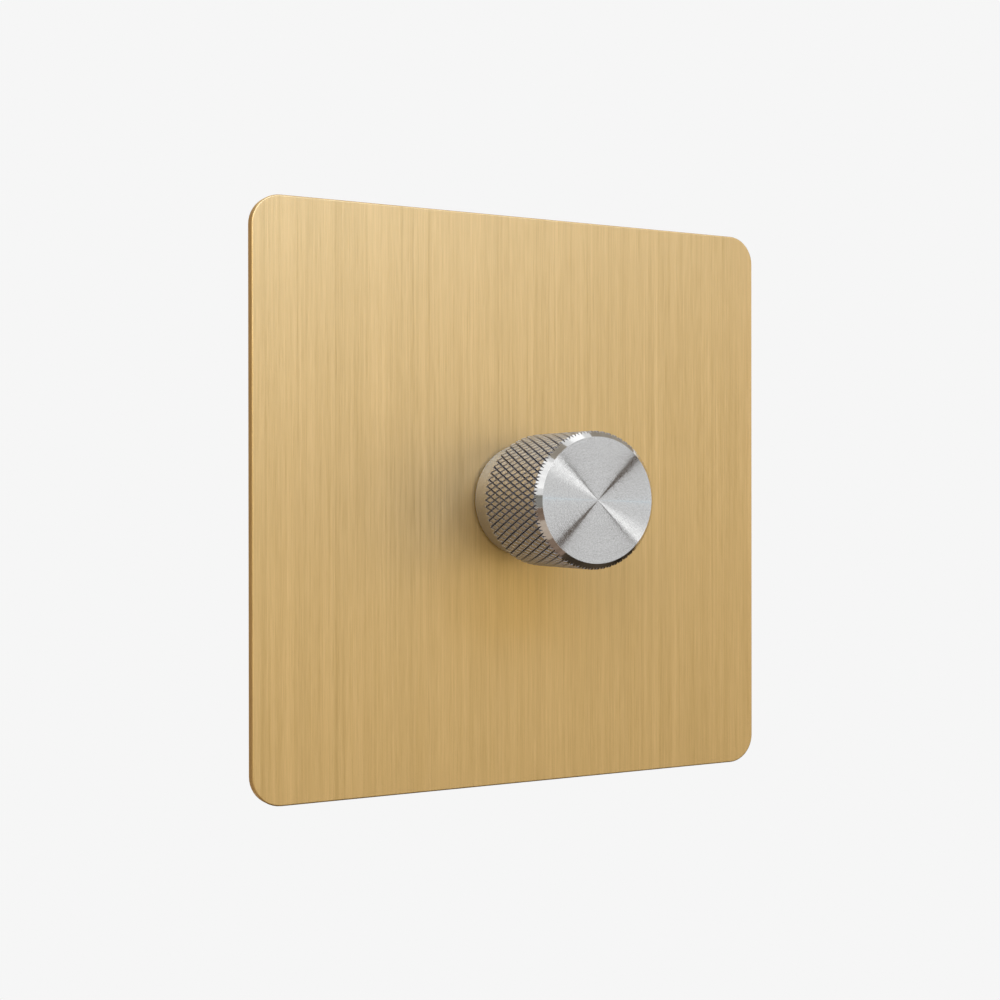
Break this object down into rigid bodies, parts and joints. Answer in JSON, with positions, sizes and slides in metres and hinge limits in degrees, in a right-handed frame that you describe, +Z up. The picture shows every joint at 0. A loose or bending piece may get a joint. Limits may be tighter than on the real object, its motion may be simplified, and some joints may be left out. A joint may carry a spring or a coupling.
{
  "type": "rotary dimmer switch",
  "caption": "Square brushed brass wall plate with a diamond-knurled steel knob that turns and pushes, on a steel yoke with a dimmer module behind.",
  "frame": {"origin": "midway between the two fixing slots, on the wall's surface", "axes": "+Z up, +X to the right as seen from the room, +Y into the wall"},
  "size_m": [0.09, 0.0548, 0.09],
  "materials": {
    "plate_brass": "brushed, fine vertical grain, lacquered satin",
    "knob_steel": "turned and diamond knurled, satin",
    "frame_plastic": "moulded, fine matt",
    "plated_steel": "zinc plated",
    "spring_steel": "plain spring steel",
    "turned_brass": "turned, bright",
    "shaft_steel": "ground",
    "black_steel": "blackened",
    "control_plastic": "moulded, matt",
    "nylon": "natural, satin",
    "contact_brass": "stamped strip",
    "wafer_board": "phenolic board",
    "carbon_track": "printed carbon",
    "heat_aluminium": "rolled sheet",
    "case_plastic": "moulded, fine spark texture",
    "circuit_board": "solder resist on glass epoxy",
    "transistor_epoxy": "moulded epoxy",
    "silicone_pad": "silicone sheet",
    "ferrite": "sintered",
    "copper_wire": "enamelled copper",
    "capacitor_box": "moulded box",
    "capacitor_can": "sleeved can",
    "fuse_ceramic": "ceramic tube with metal caps",
    "terminal_plastic": "moulded, satin"
  },
  "bodies": {
    "switch": {"front_plate": "plate_brass", "clip_frame": "frame_plastic", "mounting_yoke": "plated_steel", "bush_nut": "plated_steel", "lock_washer": "spring_steel", "mounting_bush": "turned_brass", "control_housing": "control_plastic", "control_base": "control_plastic", "track_wafer": "wafer_board", "resistive_track": "carbon_track", "fixed_contacts": "contact_brass", "return_spring": "spring_steel", "heat_plate": "heat_aluminium", "rear_cover": "case_plastic", "case_screws": "plated_steel", "circuit_board": "circuit_board", "power_transistors": "transistor_epoxy", "insulator_pads": "silicone_pad", "transistor_screws": "plated_steel", "choke_core": "ferrite", "choke_winding": "copper_wire", "film_capacitor": "capacitor_box", "smoothing_capacitor": "capacitor_can", "fuse_link": "fuse_ceramic", "control_chip": "transistor_epoxy", "terminal_block": "terminal_plastic", "terminal_clamps": "turned_brass", "terminal_screws": "plated_steel", "earth_terminal": "turned_brass", "earth_screw": "plated_steel"},
    "plunger": {"push_plunger": "nylon", "contact_bridge": "contact_brass"},
    "knob": {"knob": "knob_steel", "grub_screw": "black_steel", "control_shaft": "shaft_steel", "shaft_clip": "spring_steel"},
    "wiper": {"wiper_rotor": "nylon", "wiper_contact": "contact_brass"}
  },
  "joints": [
    {"name": "knob_push", "type": "slide", "parent": "switch", "child": "plunger", "axis": [0, 1, 0], "range_m": [0, 0.0005], "stiffness_N_per_m": 3000, "springref_m": -0.001, "deforming": ["return_spring"]},
    {"name": "knob_turn", "type": "hinge", "parent": "plunger", "child": "knob", "pos_m": [0, 0, 0], "axis": [0, 1, 0], "range_deg": [-140, 140]},
    {"name": "wiper_turn", "type": "hinge", "parent": "switch", "child": "wiper", "pos_m": [0, 0, 0], "axis": [0, 1, 0], "range_deg": [-140, 140]}
  ],
  "couplings": [
    {"joint": "wiper_turn", "follows": "knob_turn", "ratio": 1}
  ]
}
